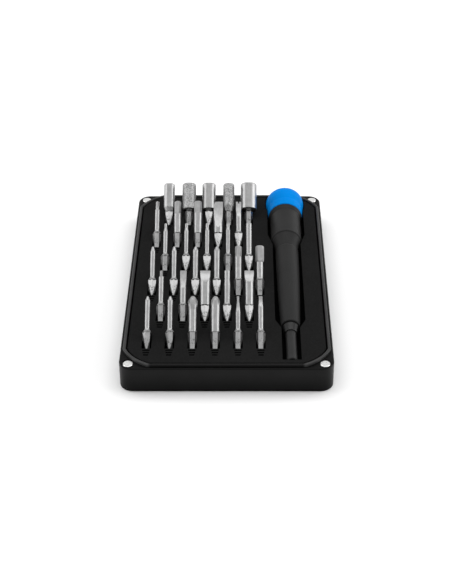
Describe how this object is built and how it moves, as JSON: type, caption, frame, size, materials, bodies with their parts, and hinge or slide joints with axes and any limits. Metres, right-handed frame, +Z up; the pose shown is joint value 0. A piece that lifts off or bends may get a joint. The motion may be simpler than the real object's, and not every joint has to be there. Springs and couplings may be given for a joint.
{
  "type": "precision screwdriver set",
  "caption": "Open shallow tray with a foam insert that holds raked precision bits and a driver with a free-spinning end cap.",
  "frame": {"origin": "middle of the tray's flat underside", "axes": "+Z up, +Y from the tray's front edge to its back edge along its length, +X across the tray towards the driver"},
  "size_m": [0.105, 0.166, 0.0312],
  "materials": {
    "case_plastic": "semi-gloss moulded black plastic",
    "liner_plastic": "fine matte dark grey plastic",
    "foam": "dense closed-cell black foam, matte",
    "bond_sheet": "double-sided adhesive sheet",
    "nickel": "bright nickel plate",
    "handle_black": "matte black, lightly textured",
    "ferrule_grey": "dark turned metal",
    "shaft_black": "black oxide steel, satin",
    "plain_steel": "plain turned steel",
    "hub_plastic": "natural low-friction plastic",
    "cap_blue": "bright blue satin plastic",
    "bit_steel": "satin hardened steel"
  },
  "bodies": {
    "case": {"case_shell": "case_plastic", "liner_frame": "liner_plastic", "foam_insert": "foam", "foam_bond_sheet": "bond_sheet", "corner_magnets": "nickel"},
    "driver": {"driver_handle": "handle_black", "driver_ferrule": "ferrule_grey", "bit_holder_shaft": "shaft_black", "holder_magnet": "nickel", "cap_spindle": "plain_steel", "thrust_washer": "plain_steel"},
    "cap": {"swivel_cap": "cap_blue", "swivel_hub": "hub_plastic"},
    "bit_cross_000": {"bit_cross_000": "bit_steel"},
    "bit_cross_00": {"bit_cross_00": "bit_steel"},
    "bit_cross_1": {"bit_cross_1": "bit_steel"},
    "bit_cross_2": {"bit_cross_2": "bit_steel"},
    "bit_slotted_1_0": {"bit_slotted_1_0": "bit_steel"},
    "bit_slotted_2_0": {"bit_slotted_2_0": "bit_steel"},
    "bit_hex_1_3": {"bit_hex_1_3": "bit_steel"},
    "bit_slotted_3_0": {"bit_slotted_3_0": "bit_steel"},
    "bit_slotted_5_0": {"bit_slotted_5_0": "bit_steel"},
    "bit_star_10": {"bit_star_10": "bit_steel"},
    "bit_slotted_4_5": {"bit_slotted_4_5": "bit_steel"},
    "bit_offset_cross_000": {"bit_offset_cross_000": "bit_steel"},
    "bit_offset_cross_00": {"bit_offset_cross_00": "bit_steel"},
    "bit_offset_cross_0": {"bit_offset_cross_0": "bit_steel"},
    "bit_offset_cross_1": {"bit_offset_cross_1": "bit_steel"},
    "bit_hex_3_0": {"bit_hex_3_0": "bit_steel"},
    "bit_hex_4_0": {"bit_hex_4_0": "bit_steel"},
    "bit_star_3": {"bit_star_3": "bit_steel"},
    "bit_star_4": {"bit_star_4": "bit_steel"},
    "bit_star_5": {"bit_star_5": "bit_steel"},
    "bit_star_6": {"bit_star_6": "bit_steel"},
    "bit_star_15": {"bit_star_15": "bit_steel"},
    "bit_triangle_2_3": {"bit_triangle_2_3": "bit_steel"},
    "bit_hex_3_5": {"bit_hex_3_5": "bit_steel"},
    "bit_hex_4_5": {"bit_hex_4_5": "bit_steel"},
    "bit_opening_pick": {"bit_opening_pick": "bit_steel"},
    "bit_fork_2_6": {"bit_fork_2_6": "bit_steel"},
    "bit_nut_driver_3_0": {"bit_nut_driver_3_0": "bit_steel"},
    "bit_nut_driver_4_5": {"bit_nut_driver_4_5": "bit_steel"},
    "bit_nut_driver_5_0": {"bit_nut_driver_5_0": "bit_steel"},
    "bit_nut_driver_3_5": {"bit_nut_driver_3_5": "bit_steel"},
    "bit_nut_driver_5_5": {"bit_nut_driver_5_5": "bit_steel"}
  },
  "joints": [
    {"name": "driver_lift", "type": "slide", "parent": "case", "child": "driver", "axis": [0, 0, 1], "range_m": [0, 0.045]},
    {"name": "cap_swivel", "type": "hinge", "parent": "driver", "child": "cap", "pos_m": [0.032, 0.07, 0.01285], "axis": [0, 1, 0], "continuous": true},
    {"name": "cross_000_pull", "type": "slide", "parent": "case", "child": "bit_cross_000", "axis": [0, 0.7771, 0.6293], "range_m": [0, 0.03]},
    {"name": "cross_00_pull", "type": "slide", "parent": "case", "child": "bit_cross_00", "axis": [0, 0.7771, 0.6293], "range_m": [0, 0.03]},
    {"name": "cross_1_pull", "type": "slide", "parent": "case", "child": "bit_cross_1", "axis": [0, 0.7771, 0.6293], "range_m": [0, 0.03]},
    {"name": "cross_2_pull", "type": "slide", "parent": "case", "child": "bit_cross_2", "axis": [0, 0.7771, 0.6293], "range_m": [0, 0.03]},
    {"name": "slotted_1_0_pull", "type": "slide", "parent": "case", "child": "bit_slotted_1_0", "axis": [0, 0.7771, 0.6293], "range_m": [0, 0.03]},
    {"name": "slotted_2_0_pull", "type": "slide", "parent": "case", "child": "bit_slotted_2_0", "axis": [0, 0.7771, 0.6293], "range_m": [0, 0.03]},
    {"name": "hex_1_3_pull", "type": "slide", "parent": "case", "child": "bit_hex_1_3", "axis": [0, 0.7771, 0.6293], "range_m": [0, 0.03]},
    {"name": "slotted_3_0_pull", "type": "slide", "parent": "case", "child": "bit_slotted_3_0", "axis": [0, 0.7771, 0.6293], "range_m": [0, 0.03]},
    {"name": "slotted_5_0_pull", "type": "slide", "parent": "case", "child": "bit_slotted_5_0", "axis": [0, 0.7771, 0.6293], "range_m": [0, 0.03]},
    {"name": "star_10_pull", "type": "slide", "parent": "case", "child": "bit_star_10", "axis": [0, 0.7771, 0.6293], "range_m": [0, 0.03]},
    {"name": "slotted_4_5_pull", "type": "slide", "parent": "case", "child": "bit_slotted_4_5", "axis": [0, 0.7771, 0.6293], "range_m": [0, 0.03]},
    {"name": "offset_cross_000_pull", "type": "slide", "parent": "case", "child": "bit_offset_cross_000", "axis": [0, 0.7771, 0.6293], "range_m": [0, 0.03]},
    {"name": "offset_cross_00_pull", "type": "slide", "parent": "case", "child": "bit_offset_cross_00", "axis": [0, 0.7771, 0.6293], "range_m": [0, 0.03]},
    {"name": "offset_cross_0_pull", "type": "slide", "parent": "case", "child": "bit_offset_cross_0", "axis": [0, 0.7771, 0.6293], "range_m": [0, 0.03]},
    {"name": "offset_cross_1_pull", "type": "slide", "parent": "case", "child": "bit_offset_cross_1", "axis": [0, 0.7771, 0.6293], "range_m": [0, 0.03]},
    {"name": "hex_3_0_pull", "type": "slide", "parent": "case", "child": "bit_hex_3_0", "axis": [0, 0.7771, 0.6293], "range_m": [0, 0.03]},
    {"name": "hex_4_0_pull", "type": "slide", "parent": "case", "child": "bit_hex_4_0", "axis": [0, 0.7771, 0.6293], "range_m": [0, 0.03]},
    {"name": "star_3_pull", "type": "slide", "parent": "case", "child": "bit_star_3", "axis": [0, 0.7771, 0.6293], "range_m": [0, 0.03]},
    {"name": "star_4_pull", "type": "slide", "parent": "case", "child": "bit_star_4", "axis": [0, 0.7771, 0.6293], "range_m": [0, 0.03]},
    {"name": "star_5_pull", "type": "slide", "parent": "case", "child": "bit_star_5", "axis": [0, 0.7771, 0.6293], "range_m": [0, 0.03]},
    {"name": "star_6_pull", "type": "slide", "parent": "case", "child": "bit_star_6", "axis": [0, 0.7771, 0.6293], "range_m": [0, 0.03]},
    {"name": "star_15_pull", "type": "slide", "parent": "case", "child": "bit_star_15", "axis": [0, 0.7771, 0.6293], "range_m": [0, 0.03]},
    {"name": "triangle_2_3_pull", "type": "slide", "parent": "case", "child": "bit_triangle_2_3", "axis": [0, 0.7771, 0.6293], "range_m": [0, 0.03]},
    {"name": "hex_3_5_pull", "type": "slide", "parent": "case", "child": "bit_hex_3_5", "axis": [0, 0.7771, 0.6293], "range_m": [0, 0.03]},
    {"name": "hex_4_5_pull", "type": "slide", "parent": "case", "child": "bit_hex_4_5", "axis": [0, 0.7771, 0.6293], "range_m": [0, 0.03]},
    {"name": "opening_pick_pull", "type": "slide", "parent": "case", "child": "bit_opening_pick", "axis": [0, 0.7771, 0.6293], "range_m": [0, 0.03]},
    {"name": "fork_2_6_pull", "type": "slide", "parent": "case", "child": "bit_fork_2_6", "axis": [0, 0.7771, 0.6293], "range_m": [0, 0.03]},
    {"name": "nut_driver_3_0_pull", "type": "slide", "parent": "case", "child": "bit_nut_driver_3_0", "axis": [0, 0.7771, 0.6293], "range_m": [0, 0.03]},
    {"name": "nut_driver_4_5_pull", "type": "slide", "parent": "case", "child": "bit_nut_driver_4_5", "axis": [0, 0.7771, 0.6293], "range_m": [0, 0.03]},
    {"name": "nut_driver_5_0_pull", "type": "slide", "parent": "case", "child": "bit_nut_driver_5_0", "axis": [0, 0.7771, 0.6293], "range_m": [0, 0.03]},
    {"name": "nut_driver_3_5_pull", "type": "slide", "parent": "case", "child": "bit_nut_driver_3_5", "axis": [0, 0.7771, 0.6293], "range_m": [0, 0.03]},
    {"name": "nut_driver_5_5_pull", "type": "slide", "parent": "case", "child": "bit_nut_driver_5_5", "axis": [0, 0.7771, 0.6293], "range_m": [0, 0.03]}
  ]
}
